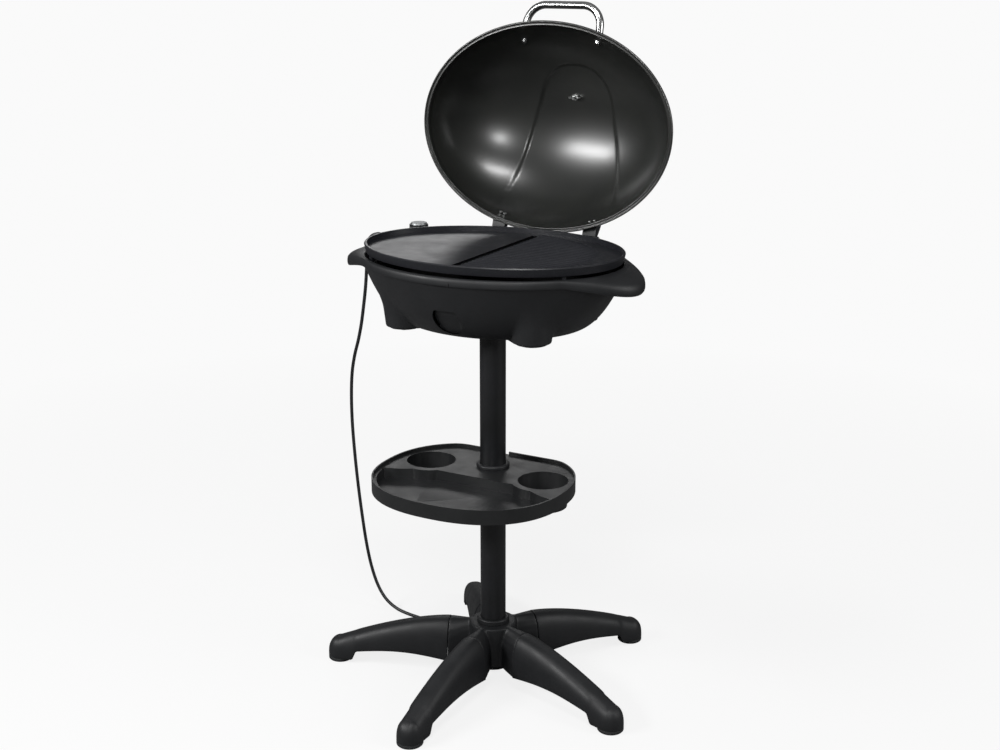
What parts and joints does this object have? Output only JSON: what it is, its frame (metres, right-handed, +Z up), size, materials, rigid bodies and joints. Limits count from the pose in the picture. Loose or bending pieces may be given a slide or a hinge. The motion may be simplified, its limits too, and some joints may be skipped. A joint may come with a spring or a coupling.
{
  "type": "electric stand grill",
  "caption": "Electric grill on a star-foot pole stand with a shelf tray, an oval plate with smooth and ribbed halves, a plug-in thermostat and a hinged dome lid standing open.",
  "frame": {"origin": "on the floor, on the axis of the pole", "axes": "+Z up along the pole, front towards -Y, the thermostat towards -X"},
  "size_m": [0.7542, 0.7091, 1.3043],
  "materials": {
    "black_paint": "satin black coating on steel tube",
    "black_plastic": "fine-textured moulding",
    "rubber": "matt",
    "screw_steel": "zinc plated",
    "zinc_sheet": "rolled sheet, satin",
    "plate_coating": "non-stick coating on a casting",
    "rod_steel": "heat-darkened",
    "brass_pin": "turned",
    "chrome": "polished",
    "enamel": "glossy dark grey enamel",
    "cord_jacket": "smooth jacket",
    "cap_silver": "satin with printed numbers"
  },
  "bodies": {
    "stand": {"hub": "black_plastic", "leg_1": "black_plastic", "leg_2": "black_plastic", "leg_3": "black_plastic", "leg_4": "black_plastic", "leg_5": "black_plastic", "foot_1": "rubber", "foot_2": "rubber", "foot_3": "rubber", "foot_4": "rubber", "foot_5": "rubber", "leg_screws": "screw_steel", "hub_collar": "black_plastic", "lower_tube": "black_paint", "upper_tube": "black_paint", "tube_sleeve": "zinc_sheet", "tray": "black_plastic", "tray_collar": "black_plastic", "pole_socket": "black_plastic", "socket_screws": "screw_steel", "bowl": "black_plastic", "reflector": "zinc_sheet", "hinge_bases": "black_plastic", "hinge_pins": "screw_steel", "power_cord": "cord_jacket", "cord_coil": "cord_jacket", "cord_tail": "cord_jacket", "plug": "black_plastic", "plug_pins": "brass_pin"},
    "drawer": {"grease_drawer": "black_plastic"},
    "plate": {"grill_plate": "plate_coating", "heating_rod": "rod_steel", "rod_clips": "zinc_sheet", "terminal_box": "zinc_sheet", "thermostat_case": "black_plastic", "thermostat_pins": "brass_pin", "cord_guard": "rubber"},
    "knob": {"knob": "black_plastic", "knob_cap": "cap_silver"},
    "lid": {"dome": "enamel", "lid_handle": "chrome", "handle_screws": "screw_steel", "vent_screw": "screw_steel", "hinge_leaves": "black_paint", "hinge_screws": "screw_steel"},
    "vent": {"vent_shutter": "black_plastic"}
  },
  "joints": [
    {"name": "lid_hinge", "type": "hinge", "parent": "stand", "child": "lid", "pos_m": [0, 0.206, 0.862], "axis": [1, 0, 0], "range_deg": [0, 91.5]},
    {"name": "vent_turn", "type": "hinge", "parent": "lid", "child": "vent", "pos_m": [0, 0.35146, 1.11628], "axis": [0, 0.9844, 0.1757], "range_deg": [0, 60]},
    {"name": "knob_turn", "type": "hinge", "parent": "plate", "child": "knob", "pos_m": [-0.245, 0.138, 0.865], "axis": [0, 0, 1], "range_deg": [0, 240]},
    {"name": "drawer_slide", "type": "slide", "parent": "stand", "child": "drawer", "axis": [0, -1, 0], "range_m": [0, 0.05]},
    {"name": "plate_lift", "type": "slide", "parent": "stand", "child": "plate", "axis": [0, 0, -1], "range_m": [-0.04, 0]}
  ]
}
